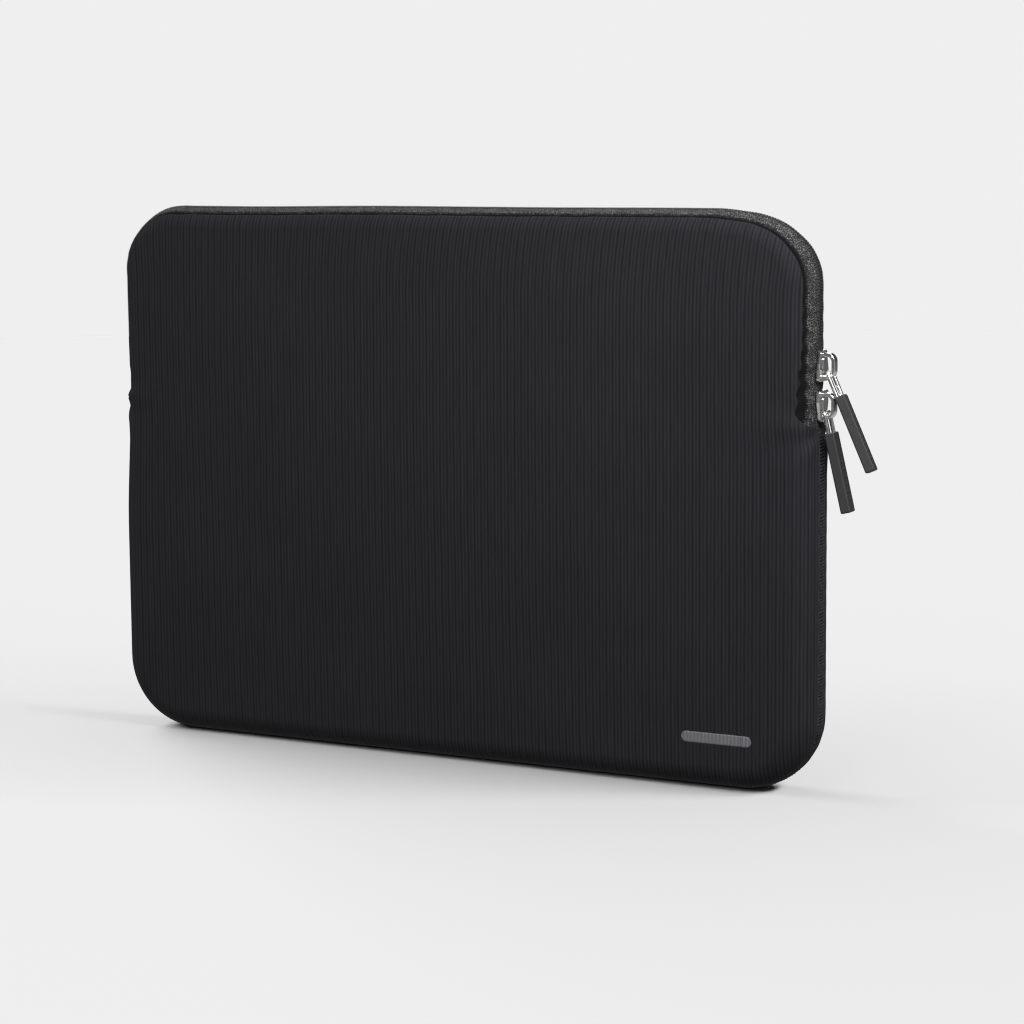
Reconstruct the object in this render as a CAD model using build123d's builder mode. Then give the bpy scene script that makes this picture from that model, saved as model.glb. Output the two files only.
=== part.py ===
from build123d import *
import os

# Padded laptop sleeve: a folded neoprene-type blank with a ribbed knit face,
# closed by a curved coil zipper with two sliders and moulded pulls.
#
# Frame: +Z up, +X to the right across the width, -Y towards the front face.
# Origin: middle of the bottom fold, on the surface the sleeve stands on.
# Millimetres. A "depth" or "inset" is measured inwards from the padded outline.

os.makedirs("parts", exist_ok=True)

# ---------------------------------------------------------------- sleeve
WIDTH, HEIGHT, THICKNESS = 336.0, 236.0, 25.0   # outer size, filled
CORNER_R = 32.0                 # corner radius seen from the front
EDGE_R = 10.0                   # roll of the padded edges
FACE_DEPTH = 0.8                # inner side of the ribbed knit face
FOAM_DEPTH = 3.7                # inner side of the foam core
WALL_DEPTH = 4.5                # inner side of the lining
FOLD_Z = 150.0                  # the zipper ends and the front flap folds here
FOLD_GAP = 0.1                  # half gap at the fold
SEAM_X = WIDTH / 2 - CORNER_R   # the side seams start where the bottom fold ends
CLEAR = 0.2                     # clearance around tabs, stitching and strip ends

# Half widths of the opening for the zipper, layer by layer
MOUTH_Y = 9.0                   # face fabric: the visible zipper band
FOAM_MOUTH_Y = 10.3             # the foam stops short of the seam allowance
LINING_MOUTH_Y = 7.95           # the lining stops under the binding
FOAM_RIM = 7.6                  # inset to which the foam is cut back around the rim
LINING_MOUTH_DROP = 1.0         # the lining opening starts this far below the fold

FACE_SEAM_GAP = 1.6             # half gap of the face fabric at the side seams
INNER_SEAM_GAP = 0.15           # and of the foam and lining
SEAM_OVERRUN = 5.0              # the side seam cut runs this far above the fold

TAB_H = 5.0                     # height of the notch that holds each zipper end tab
STITCH_HALF = 1.5               # half width of the side seam stitching
COVER_OUT, COVER_IN = 0.1, 0.7  # depths of the tabs and the stitching

MARK_X, MARK_Z = 128.0, 21.0
MARK_L, MARK_H, MARK_T = 31.0, 4.6, 0.15

# ---------------------------------------------------------------- zipper strips
TAPE_DEPTH, TAPE_T = 1.6, 0.7
TAPE_FLAT = 4.9                 # the tape is flat this far from the mid plane
FLAT_LOSS = 0.414               # flat width lost per unit of depth at the 45 degree bend
SLOPE_RUN = 6.0                 # width of the sloped rim beyond the flat
BINDING_GAP, BINDING_T = 0.1, 0.7
COIL_OUT, COIL_IN = 0.0, 1.5    # depths of the coil's outer and inner sides
CUTTER_HALF = 20.0              # half thickness of the straight-sided blocks

# Distances from the mid plane: near edge, far edge
TAPE_Y = (0.5, 9.6)
BINDING_Y = (5.3, 8.6)
COIL_Y = (0.5, 2.9)

# ---------------------------------------------------------------- sliders
# "Level" is the distance outwards from the right side of the outline.
SLIDER_L = 12.4
PLATE_T = 1.1
OUTER_LEVEL = 0.3               # underside of the outer plate
INNER_LEVEL = -2.6              # outer side of the inner plate
PLATE_R, PLATE_CHAMFER = 1.1, 0.25
NECK_X, NECK_L, NECK_T = 3.7, 3.4, 0.9
HOLE_Z, HOLE_R = -1.2, 0.6      # lock pin hole, from the slider centre

# Plate outline: along the track towards the wide end, across it
PLATE_OUTLINE = [
    (-SLIDER_L / 2, -3.4), (-3.4, -3.6), (1.4, -4.8), (SLIDER_L / 2, -4.8),
    (SLIDER_L / 2, 4.8), (1.4, 4.8), (-3.4, 3.6), (-SLIDER_L / 2, 3.4),
]

CROWN_L, CROWN_HALF = 10.4, 1.6          # length, half width
CROWN_TOP = 6.6
CROWN_GAP = 0.02                         # between the plate and the crown's feet
CROWN_R, CROWN_EDGE_R = 3.4, 0.3
OPENING_L, OPENING_R = 7.6, 2.2
CROWN_BAR_T = 1.3                        # thickness over the opening
OPENING_OVERRUN = 1.0                    # the opening is cut this far past the feet

LEAF_L, LEAF_W, LEAF_T = 6.4, 1.8, 0.35  # lock spring leaf
LEAF_GAP = 0.05
PIN_LEVEL, PIN_L, PIN_R = 0.45, 1.1, 0.45

# ---------------------------------------------------------------- pulls
PIVOT_Z = -2.6                  # bail bar, from the slider centre
WIRE_R = 0.75
BAIL_HALF, BAIL_R = 2.6, 1.1
BAIL_EMBED = 3.2                # length of bail moulded into the grip
GRIP_L, GRIP_W, GRIP_T = 32.5, 7.2, 4.0
GRIP_CORNER_R, GRIP_EDGE_R = 0.6, 0.5
RIDGES, RIDGE_START, RIDGE_PITCH = 7, 9.0, 3.0
RIDGE_L, RIDGE_W, RIDGE_T = 3.6, 0.9, 0.25

# centre_z: slider centre, wide_end: 1 up or -1 down
SLIDERS = {
    "lower": dict(centre_z=158.2, wide_end=1),
    "upper": dict(centre_z=174.2, wide_end=-1),
}
# pivot_level: bail bar, grip_start: from the bail bar, tilt: outward swing in degrees,
# twist: of the grip on its bail in degrees, proud: outward offset of the grip
PULLS = {
    "lower": dict(pivot_level=2.75, grip_start=8.4, tilt=13.3, twist=-7.0, proud=0.0),
    "upper": dict(pivot_level=3.9, grip_start=10.4, tilt=24.4, twist=-14.0, proud=0.55),
}

# Cutter extents, well clear of the sleeve
BIG = 600.0
BELOW = -10.0
ALL = (-BIG, BIG)


def keep(builder, name):
    """Label a finished piece and write its STEP."""
    builder.part.label = name
    export_step(builder.part, f"parts/{name}.step")


# ---------------------------------------------------------------- base solids
def block(z, x=ALL, y=ALL):
    """Axis-aligned block given by its ranges, kept out of any active builder."""
    centre = Pos((x[0] + x[1]) / 2, (y[0] + y[1]) / 2, (z[0] + z[1]) / 2)
    return centre * Box(x[1] - x[0], y[1] - y[0], z[1] - z[0], mode=Mode.PRIVATE)


def straight(inset, half):
    """Straight-sided rounded rectangle, inset from the outline."""
    with BuildPart() as body:
        with Locations((0, 0, HEIGHT / 2)):
            Box(WIDTH - 2 * inset, 2 * half, HEIGHT - 2 * inset)
        fillet(body.edges().filter_by(Axis.Y), radius=CORNER_R - inset)
    return body.part


def padded(inset):
    """The whole padded outline, inset by a depth."""
    with BuildPart() as body:
        add(straight(inset, THICKNESS / 2 - inset))
        fillet(body.faces().filter_by(Axis.Y).edges(), radius=EDGE_R - inset)
    return body.part


def sloped(depth):
    """Solid whose rim is flat near the mid plane and slopes in at 45 degrees beyond it.

    The depth is measured from the outer side of the zipper tape.
    """
    flat = TAPE_FLAT - FLAT_LOSS * depth
    with BuildPart() as body:
        add(straight(TAPE_DEPTH + depth, flat + SLOPE_RUN))
        chamfer(body.faces().filter_by(Axis.Y).edges(), length=SLOPE_RUN)
    return body.part


# ---------------------------------------------------------------- laminate layers
def make_layer(name, outer_depth, inner_depth, cuts):
    """One layer of the laminate between two depths, less the cuts."""
    outer, inner = padded(outer_depth), padded(inner_depth)
    with BuildPart() as layer:
        add(outer)
        for cut in cuts:
            add(cut, mode=Mode.SUBTRACT)
        add(inner, mode=Mode.SUBTRACT)
    keep(layer, name)


def mouth(half, drop):
    """Zipper opening through front and rear, from just below the fold upwards."""
    return block((FOLD_Z - drop, BIG), y=(-half, half))


def make_shell():
    """Rear panel, bottom fold and lower front, parted at both side seams."""
    front_above_fold = block((FOLD_Z - FOLD_GAP, BIG), y=(-BIG, 0))
    for name, outer, inner, opening, gap in (
        ("face_fabric", 0.0, FACE_DEPTH, mouth(MOUTH_Y, TAB_H), FACE_SEAM_GAP),
        ("foam_core", FACE_DEPTH, FOAM_DEPTH, foam_mouth, INNER_SEAM_GAP),
        ("lining", FOAM_DEPTH, WALL_DEPTH,
         mouth(LINING_MOUTH_Y, LINING_MOUTH_DROP), INNER_SEAM_GAP),
    ):
        seams = [
            block((BELOW, FOLD_Z + SEAM_OVERRUN), x=x, y=(-gap, gap))
            for x in ((SEAM_X, BIG), (-BIG, -SEAM_X))
        ]
        make_layer(f"shell_{name}", outer, inner, [front_above_fold, opening, *seams])


def make_front_flap():
    """Front panel above the fold."""
    below_fold = block((BELOW, FOLD_Z + FOLD_GAP))
    above = (BELOW, BIG)
    for name, outer, inner, rear in (
        ("face_fabric", 0.0, FACE_DEPTH, block(above, y=(-MOUTH_Y, BIG))),
        ("foam_core", FACE_DEPTH, FOAM_DEPTH, foam_mouth + block(above, y=(0, BIG))),
        ("lining", FOAM_DEPTH, WALL_DEPTH, block(above, y=(-LINING_MOUTH_Y, BIG))),
    ):
        make_layer(f"front_flap_{name}", outer, inner, [below_fold, rear])


# ---------------------------------------------------------------- strips, tabs, stitching, mark
def make_band(name, outer, inner, region):
    """The skin between two solids, inside a region."""
    with BuildPart() as band:
        add(outer)
        add(region, mode=Mode.INTERSECT)
        add(inner, mode=Mode.SUBTRACT)
    keep(band, name)


def make_zipper_strips():
    """Tapes and bindings sloping under the panels, and a half coil on each tape."""
    binding_depth = TAPE_T + BINDING_GAP
    for name, outer, inner, (near, far) in (
        ("zipper_tape", sloped(0.0), sloped(TAPE_T), TAPE_Y),
        ("seam_binding", sloped(binding_depth), sloped(binding_depth + BINDING_T), BINDING_Y),
        ("zipper_coil", straight(COIL_OUT, CUTTER_HALF), straight(COIL_IN, CUTTER_HALF), COIL_Y),
    ):
        for place, y in (("rear", (near, far)), ("front", (-far, -near))):
            make_band(f"{place}_{name}", outer, inner, block((FOLD_Z + CLEAR, BIG), y=y))


def make_seam_covers():
    """Fabric tabs over the tape ends, and overlocked side seams below them."""
    outer, inner = padded(COVER_OUT), padded(COVER_IN)
    tab_y, tab_z = MOUTH_Y - CLEAR, (FOLD_Z - TAB_H + CLEAR, FOLD_Z - CLEAR)
    seam_x, seam_z = SEAM_X + CLEAR, (BELOW, FOLD_Z - TAB_H - CLEAR)
    for place, tab_x, stitch_x in (
        ("right", (0, BIG), (seam_x, BIG)),
        ("left", (-BIG, 0), (-BIG, -seam_x)),
    ):
        make_band(f"zipper_end_tab_{place}", outer, inner,
                  block(tab_z, x=tab_x, y=(-tab_y, tab_y)))
        make_band(f"side_seam_stitching_{place}", outer, inner,
                  block(seam_z, x=stitch_x, y=(-STITCH_HALF, STITCH_HALF)))


def make_printed_mark():
    """Plain printed bar on the lower front."""
    with BuildPart() as mark:
        with BuildSketch(Plane.XZ.offset(THICKNESS / 2)):
            with Locations((MARK_X, MARK_Z)):
                SlotOverall(MARK_L, MARK_H)
        extrude(amount=MARK_T)
    keep(mark, "printed_mark")


# ---------------------------------------------------------------- sliders
def slider_frame(centre_z, wide_end):
    """Local x runs along the track to the wide end, local y across it, local z outwards."""
    return Plane(origin=(WIDTH / 2, 0, centre_z), x_dir=(0, 0, wide_end), z_dir=(1, 0, 0))


def make_slider_body(prefix, centre_z, wide_end):
    """Two plates joined by a neck, with a lock pin hole in the outer plate."""
    base = slider_frame(centre_z, wide_end)
    with BuildPart() as body:
        for level in (OUTER_LEVEL, INNER_LEVEL - PLATE_T):
            with BuildSketch(base.offset(level)) as plate:
                with BuildLine():
                    Polyline(*PLATE_OUTLINE, close=True)
                make_face()
                fillet(plate.vertices(), radius=PLATE_R)
            extrude(amount=PLATE_T)
        outer_face = body.faces().filter_by(Axis.X).sort_by(Axis.X)[-1]
        chamfer(outer_face.edges(), length=PLATE_CHAMFER)
        with BuildSketch(base.offset(INNER_LEVEL)):
            with Locations((NECK_X, 0)):
                SlotOverall(NECK_L, NECK_T)
        extrude(amount=OUTER_LEVEL - INNER_LEVEL)
        with Locations(base.offset(OUTER_LEVEL + PLATE_T)):
            with Locations((HOLE_Z * wide_end, 0)):
                Hole(radius=HOLE_R, depth=PLATE_T + 0.2)
    keep(body, f"{prefix}_slider_body")


def make_slider_crown(prefix, centre_z):
    """Arch on the outer plate that carries the bail."""
    # local x up, local y outwards
    side = Plane(origin=(WIDTH / 2, 0, centre_z), x_dir=(0, 0, 1), z_dir=(0, 1, 0))
    foot = OUTER_LEVEL + PLATE_T + CROWN_GAP
    opening_low, opening_top = foot - OPENING_OVERRUN, CROWN_TOP - CROWN_BAR_T
    with BuildPart() as crown:
        with BuildSketch(side) as arch:
            with Locations((0, (foot + CROWN_TOP) / 2)):
                Rectangle(CROWN_L, CROWN_TOP - foot)
            fillet(arch.vertices().group_by(Axis.Y)[-1], radius=CROWN_R)
            with BuildSketch(mode=Mode.PRIVATE) as opening:
                with Locations((0, (opening_low + opening_top) / 2)):
                    Rectangle(OPENING_L, opening_top - opening_low)
                fillet(opening.vertices().group_by(Axis.Y)[-1], radius=OPENING_R)
            add(opening.sketch, mode=Mode.SUBTRACT)
        extrude(amount=CROWN_HALF, both=True)
        fillet(crown.faces().filter_by(Axis.Y).edges(), radius=CROWN_EDGE_R)
    keep(crown, f"{prefix}_slider_crown")


def make_lock_spring(prefix, centre_z, wide_end):
    """Leaf on the outer plate, with a pin down the hole."""
    base = slider_frame(centre_z, wide_end)
    with BuildPart() as spring:
        with BuildSketch(base.offset(OUTER_LEVEL + PLATE_T + LEAF_GAP)):
            SlotOverall(LEAF_L, LEAF_W)
        extrude(amount=LEAF_T)
        with BuildSketch(base.offset(PIN_LEVEL)):
            with Locations((HOLE_Z * wide_end, 0)):
                Circle(PIN_R)
        extrude(amount=PIN_L)
    keep(spring, f"{prefix}_slider_lock_spring")


# ---------------------------------------------------------------- pulls
def make_bail(prefix, base, length):
    """Closed wire loop, from the bail bar down into the grip."""
    with BuildSketch(base) as loop:
        with Locations((length / 2, 0)):
            RectangleRounded(length, 2 * BAIL_HALF, BAIL_R)
    path = loop.sketch.faces()[0].outer_wire()
    with BuildPart() as bail:
        with BuildSketch(Plane(origin=path @ 0, z_dir=path % 0)):
            Circle(WIRE_R)
        sweep(path=path, transition=Transition.ROUND)
    keep(bail, f"{prefix}_pull_bail")
    return bail.part


def make_grip(prefix, pad, start, bail):
    """Moulded block around the end of the bail, ridged on its outer face."""
    with BuildPart() as grip:
        with BuildSketch(pad.offset(-GRIP_T / 2)):
            with Locations((start + GRIP_L / 2, 0)):
                RectangleRounded(GRIP_L, GRIP_W, GRIP_CORNER_R)
        extrude(amount=GRIP_T)
        broad_faces = grip.faces().filter_by(lambda f: abs(f.normal_at().dot(pad.z_dir)) > 0.99)
        fillet(broad_faces.edges(), radius=GRIP_EDGE_R)
        add(bail, mode=Mode.SUBTRACT)
        with BuildSketch(pad.offset(GRIP_T / 2)):
            first = start + RIDGE_START
            with Locations(*[(first + RIDGE_PITCH * i, 0) for i in range(RIDGES)]):
                SlotOverall(RIDGE_L, RIDGE_W, rotation=90)
        extrude(amount=RIDGE_T)
    keep(grip, f"{prefix}_pull_grip")


def make_pull(prefix, centre_z, pivot_level, grip_start, tilt, twist, proud):
    """Bail and grip, hanging from the crown and swung outwards."""
    pivot = Vector(WIDTH / 2 + pivot_level, 0, centre_z + PIVOT_Z)
    # local x runs down the pull, local y across it, local z outwards
    down = Vector(0, 0, -1).rotate(Axis.Y, -tilt)
    face = Vector(1, 0, 0).rotate(Axis.Y, -tilt)
    turned = face.rotate(Axis((0, 0, 0), down), twist)
    base = Plane(origin=pivot, x_dir=down, z_dir=face)
    pad = Plane(origin=pivot + turned * proud, x_dir=down, z_dir=turned)
    bail = make_bail(prefix, base, grip_start + BAIL_EMBED)
    make_grip(prefix, pad, grip_start, bail)


# ---------------------------------------------------------------- build
# the foam stops short of the zipper, but only in a band around the rim
foam_mouth = mouth(FOAM_MOUTH_Y, TAB_H) - straight(FOAM_RIM, CUTTER_HALF)

make_shell()
make_front_flap()
make_zipper_strips()
make_seam_covers()
make_printed_mark()
for prefix, slider in SLIDERS.items():
    make_slider_body(prefix, **slider)
    make_slider_crown(prefix, slider["centre_z"])
    make_lock_spring(prefix, **slider)
    make_pull(prefix, slider["centre_z"], **PULLS[prefix])
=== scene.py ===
"""Looks for a padded, ribbed laptop sleeve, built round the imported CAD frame.

The sleeve stands on its bottom fold at z = 0, centred on x = 0. The front faces -y and the right
side is +x. A zipper runs up both sides and over the top; below its ends the sides are sewn shut.
Soft pieces are meshes made here: ribbed skins with rolled lips, foam, lining, tapes, coils,
bindings and stitches. Sliders and pulls are the CAD's own parts with new materials.
Shapes are in millimetres and become metres in make_mesh; lights and stage are in metres.
"""

import math
from collections import namedtuple
from functools import reduce

import bpy
import numpy as np
from mathutils import Matrix, Vector


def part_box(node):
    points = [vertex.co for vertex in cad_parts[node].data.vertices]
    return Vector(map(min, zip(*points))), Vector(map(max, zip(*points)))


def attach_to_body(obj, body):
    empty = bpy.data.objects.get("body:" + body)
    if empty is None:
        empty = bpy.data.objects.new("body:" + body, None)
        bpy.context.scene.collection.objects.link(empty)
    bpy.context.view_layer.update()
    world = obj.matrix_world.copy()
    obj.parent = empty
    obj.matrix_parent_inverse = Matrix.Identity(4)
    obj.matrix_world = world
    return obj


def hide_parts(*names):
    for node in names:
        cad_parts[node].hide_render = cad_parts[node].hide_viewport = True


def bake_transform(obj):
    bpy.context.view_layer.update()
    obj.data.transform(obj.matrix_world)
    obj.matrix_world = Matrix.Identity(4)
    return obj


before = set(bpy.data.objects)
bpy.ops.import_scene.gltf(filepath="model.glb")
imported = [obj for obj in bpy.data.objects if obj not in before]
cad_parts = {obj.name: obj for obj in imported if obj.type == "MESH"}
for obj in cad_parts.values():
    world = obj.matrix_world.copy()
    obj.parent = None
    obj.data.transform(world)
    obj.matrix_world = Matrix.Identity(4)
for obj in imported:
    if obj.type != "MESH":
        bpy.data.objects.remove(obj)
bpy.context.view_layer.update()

# ------------------------------------------------------------------ sizes, in mm
coil_low, coil_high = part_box("rear_zipper_coil")
fabric_low, fabric_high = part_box("shell_face_fabric")
WIDTH = (coil_high.x - coil_low.x) * 1000.0
HEIGHT = coil_high.z * 1000.0
THICK = (fabric_high.y - fabric_low.y) * 1000.0
FOLD_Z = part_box("front_flap_face_fabric")[0].z * 1000.0 - 0.1    # where the flap folds

CORNER_R = 32.0                  # outline corner
ROLL_R = 10.0                    # edge roll
FLAT_R = CORNER_R - ROLL_R       # corner of the flat middle of a panel
CORNER_X = WIDTH / 2 - CORNER_R  # corner centres
LOW_Z = CORNER_R
HIGH_Z = HEIGHT - CORNER_R
ROLL_Y = THICK / 2 - ROLL_R      # |y| of the edge roll's centre

RIB_PITCH = 3.27
RIM_STEPS = 30                   # rings from the flat middle of a skin to its lip
LAYER_RIM_STEPS = 10             # the same for foam and lining
HEM_R = 0.85                     # rolled hem at the lip of a skin
HEM_TURN = 160.0                 # degrees
HEM_STEPS = 9
HEM_TAIL = 1.3                   # straight end of the hem
RUNG = 1.25                      # zipper coil pitch
WAVE_PITCH = 7.4                 # gathers by the right-hand zipper end
STITCH_PITCH = 1.35              # overlock stitches
SEED = 11

SIDES = ((-1, "front"), (1, "rear"))
ENDS = ((1, "right"), (-1, "left"))


def smooth(start, end, value):
    """Smooth step from 0 at start to 1 at end."""
    t = np.clip((np.asarray(value, float) - start) / (end - start), 0, 1)
    return t * t * (3 - 2 * t)


def noise1(x, scale, seed=0):
    """Smooth repeatable 1-D noise, about -1 to 1."""
    table = np.random.RandomState(SEED + seed).uniform(-1, 1, 4096)
    place = np.asarray(x, float) / scale + 1000.0
    i = np.floor(place).astype(int)
    mix = place - i
    mix = mix * mix * (3 - 2 * mix)
    return table[i % 4096] * (1 - mix) + table[(i + 1) % 4096] * mix


def noise2(x, y, scale, seed=0):
    """Smooth repeatable 2-D noise, about -1 to 1."""
    table = np.random.RandomState(SEED + 100 + seed).uniform(-1, 1, (128, 128))
    place_x = np.asarray(x, float) / scale + 500.0
    place_y = np.asarray(y, float) / scale + 500.0
    i, j = np.floor(place_x).astype(int), np.floor(place_y).astype(int)
    mix_x, mix_y = place_x - i, place_y - j
    mix_x = mix_x * mix_x * (3 - 2 * mix_x)
    mix_y = mix_y * mix_y * (3 - 2 * mix_y)

    def row(j):
        return table[i % 128, j % 128] * (1 - mix_x) + table[(i + 1) % 128, j % 128] * mix_x

    return row(j) * (1 - mix_y) + row(j + 1) * mix_y


# ------------------------------------------------------------------ mesh helpers
def make_mesh(name, points, faces, uv, material, tint=None):
    """A smooth mesh object from mm points. faces is a list of arrays, each of quads or triangles."""
    mesh = bpy.data.meshes.new(name)
    groups = [np.asarray(group, np.int32) for group in faces]
    loops = np.concatenate([group.ravel() for group in groups])
    sizes = np.concatenate([np.full(len(g), g.shape[1], np.int32) for g in groups])
    starts = np.concatenate([[0], np.cumsum(sizes)[:-1]]).astype(np.int32)
    coords = np.asarray(points, np.float32) * 0.001
    mesh.vertices.add(len(coords))
    mesh.vertices.foreach_set("co", coords.ravel())
    mesh.loops.add(len(loops))
    mesh.loops.foreach_set("vertex_index", loops)
    mesh.polygons.add(len(sizes))
    mesh.polygons.foreach_set("loop_start", starts)
    layer = mesh.uv_layers.new(name="UVMap")
    layer.data.foreach_set("uv", np.asarray(uv, np.float32)[loops].ravel())
    if tint is not None:
        attribute = mesh.attributes.new("tint", "FLOAT", "POINT")
        attribute.data.foreach_set("value", np.asarray(tint, np.float32))
    mesh.polygons.foreach_set("use_smooth", np.full(len(sizes), True))
    mesh.update(calc_edges=True)
    mesh.validate()
    piece = bpy.data.objects.new(name, mesh)
    bpy.context.scene.collection.objects.link(piece)
    mesh.materials.append(material)
    return piece


def grid_faces(rows, columns, base=0, flip=False, wrap=False):
    """Quads of a grid whose vertex index is base + row * columns + column."""
    I, J = np.meshgrid(np.arange(rows - 1), np.arange(columns if wrap else columns - 1),
                       indexing="ij")
    after = (J + 1) % columns
    low, high = base + I * columns, base + (I + 1) * columns
    quads = np.stack([low + J, high + J, high + after, low + after], -1).reshape(-1, 4)
    return quads[:, ::-1] if flip else quads


def grid_border(rows, columns):
    """Vertex indices once round the border of a grid."""
    index = np.arange(rows * columns).reshape(rows, columns)
    return np.concatenate([index[:, 0], index[-1, 1:], index[-2::-1, -1], index[0, -2:0:-1]])


def wall(first, second):
    """Quads between two closed loops of vertex indices, or two stacks of loops."""
    quads = [first, second, np.roll(second, -1, 0), np.roll(first, -1, 0)]
    return np.stack(quads, -1).reshape(-1, 4)


def outward(faces, points, normals):
    """Faces turned so that most of them look along the given normals."""
    a, b, c = (points[faces[:, k]] for k in range(3))
    facing = (np.cross(b - a, c - b) * normals[faces[:, 1]]).sum(1)
    return faces[:, ::-1] if np.median(np.sign(facing)) < 0 else faces


def in_space(plan, y):
    """3-D points from (x, z) points and their y."""
    return np.stack([plan[..., 0], np.broadcast_to(y, plan.shape[:-1]), plan[..., 1]], -1)


def warp(points):
    """The filled sleeve's departures from its regular form."""
    x, z = points[:, 0], points[:, 2]
    out = points.copy()
    # both upper corners are pushed out
    dx, dz = np.clip(np.abs(x) - CORNER_X, 0, None), np.clip(z - HIGH_Z, 0, None)
    radius = np.hypot(dx, dz)
    safe = np.maximum(radius, 1e-6)
    push = np.where(radius > 1e-6, 2 * dx * dz / safe ** 2, 0)
    push = push * smooth(0.15, 0.9, radius / CORNER_R) * np.where(x > 0, 0.8, 1.2)
    out[:, 0] += np.sign(x) * push * dx / safe
    out[:, 2] += push * dz / safe
    # the top edge rises to the right, dips before the right corner and droops on the left
    out[:, 2] += 0.35 * smooth(30, 110, x) * smooth(150, 215, z)
    out[:, 2] -= 2.2 * smooth(122, 148, x) * (1 - smooth(156, 168, x)) * smooth(195, 222, z)
    out[:, 2] -= 0.8 * smooth(30, 110, -x) * smooth(205, 232, z)
    # the sides stand proud low down, and the left side is drawn in higher up
    out[:, 0] += 1.0 * smooth(130, 168, x) * (1 - smooth(FOLD_Z - 14, FOLD_Z + 2, z))
    out[:, 0] += 1.2 * smooth(120, 168, -x) * smooth(95, 140, z)
    out[:, 0] -= 0.8 * smooth(130, 168, -x) * (1 - smooth(85, 140, z))
    return out


# ------------------------------------------------------------------ routes along the outline
# distance is arc length; point, outward normal and tangent are rows of (x, z)
Route = namedtuple("Route", "distance point normal tangent")
ARC = math.pi * CORNER_R / 2


def follow(step, start, angle, turn, runs):
    """A route of straights and corners with evenly spaced points.
    angle is the normal's at the start; turn is 1 anticlockwise or -1 clockwise, seen from the
    front; runs are (length, is a corner)."""
    total = sum(length for length, _ in runs)
    distance = np.linspace(0, total, int(round(total / step)) + 1)
    point = np.zeros((len(distance), 2))
    normal = np.zeros((len(distance), 2))
    begin = 0.0
    for length, corner in runs:
        here = distance >= begin
        along = np.append(distance[here] - begin, length)      # the last row is the run's end
        angles = angle + (turn / CORNER_R if corner else 0.0) * along
        unit = np.c_[np.cos(angles), np.sin(angles)]
        first = np.array([math.cos(angle), math.sin(angle)])
        if corner:
            points = start + CORNER_R * (unit - first)
        else:
            points = start + along[:, None] * turn * np.array([-first[1], first[0]])
        point[here], normal[here] = points[:-1], unit[:-1]
        start, angle = points[-1], angles[-1]
        begin += length
    return Route(distance, point, normal, turn * np.c_[-normal[:, 1], normal[:, 0]])


def zipper_route(step, end_z):
    """From the left zipper end, over the top, to the right end."""
    rise = HIGH_Z - end_z
    runs = [(rise, False), (ARC, True), (2 * CORNER_X, False), (ARC, True), (rise, False)]
    return follow(step, np.array([-WIDTH / 2, end_z]), math.pi, -1, runs)


def seam_route(step, side, top_z):
    """From the end of the bottom fold, round the bottom corner and up to top_z."""
    route = follow(step, np.array([CORNER_X, 0.0]), -math.pi / 2, 1,
                   [(ARC, True), (top_z - LOW_Z, False)])
    mirror = np.array([side, 1.0])
    return Route(route.distance, *(part * mirror for part in route[1:]))


def place(route, y, depth, along=0.0):
    """Points (n, k, 3) by y, depth below the outline and shift along it, each (k,) or (n, k)."""
    plan = (route.point[:, None] - route.normal[:, None] * np.asarray(depth)[..., None]
            + route.tangent[:, None] * np.asarray(along)[..., None])
    return in_space(plan, y)


def strip(name, route, side, across, depth, material):
    """A closed section swept along a route. across is |y|; across and depth are (k,) or (n, k)."""
    count, size = len(route.distance), across.shape[-1]
    across = np.broadcast_to(across, (count, size))
    points = place(route, side * across, depth).reshape(-1, 3)
    along = np.repeat(route.distance[:, None], size, 1)
    uv = np.stack([along, across], -1).reshape(-1, 2)
    faces = [grid_faces(count, size, flip=side < 0, wrap=True)]
    return make_mesh(name, warp(points), faces, uv, material)


def tubes(name, paths, radius, sides, material):
    """Many small tubes in one mesh. paths: (count, steps, 3); radius: scalar or (steps,)."""
    count, steps = paths.shape[:2]
    tangent = np.gradient(paths, axis=1)
    tangent /= np.maximum(np.linalg.norm(tangent, axis=2, keepdims=True), 1e-9)
    mean = tangent.mean(1, keepdims=True)
    helper = np.where(np.abs(mean[..., :1]) < 0.8, np.array([1.0, 0, 0]), np.array([0, 1.0, 0]))
    first = np.cross(tangent, np.broadcast_to(helper, tangent.shape))
    first /= np.maximum(np.linalg.norm(first, axis=2, keepdims=True), 1e-9)
    second = np.cross(tangent, first)
    radius = np.broadcast_to(radius, (count, steps)).astype(float)
    turn = np.linspace(0, 2 * math.pi, sides, endpoint=False)[:, None]
    ring = first[:, :, None] * np.cos(turn) + second[:, :, None] * np.sin(turn)
    points = paths[:, :, None] + ring * radius[:, :, None, None]
    points = points.reshape(count, steps * sides, 3)
    # end caps are fans to the end points
    points = np.concatenate([points, paths[:, :1], paths[:, -1:]], 1)
    tip, last = steps * sides, (steps - 1) * sides
    j = np.arange(sides)
    after = (j + 1) % sides
    caps = np.concatenate([np.stack([np.full(sides, tip), j, after], -1),
                           np.stack([np.full(sides, tip + 1), last + after, last + j], -1)])
    offset = (np.arange(count) * (tip + 2))[:, None, None]
    quads = (grid_faces(steps, sides, wrap=True)[None] + offset).reshape(-1, 4)
    triangles = (caps[None] + offset).reshape(-1, 3)
    uv = np.stack([np.repeat(np.arange(steps), sides), np.tile(j, steps)], -1)
    uv = np.tile(np.concatenate([uv, [[0, 0], [steps, 0]]]), (count, 1))
    return make_mesh(name, warp(points.reshape(-1, 3)), [quads, triangles], uv, material)


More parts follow.
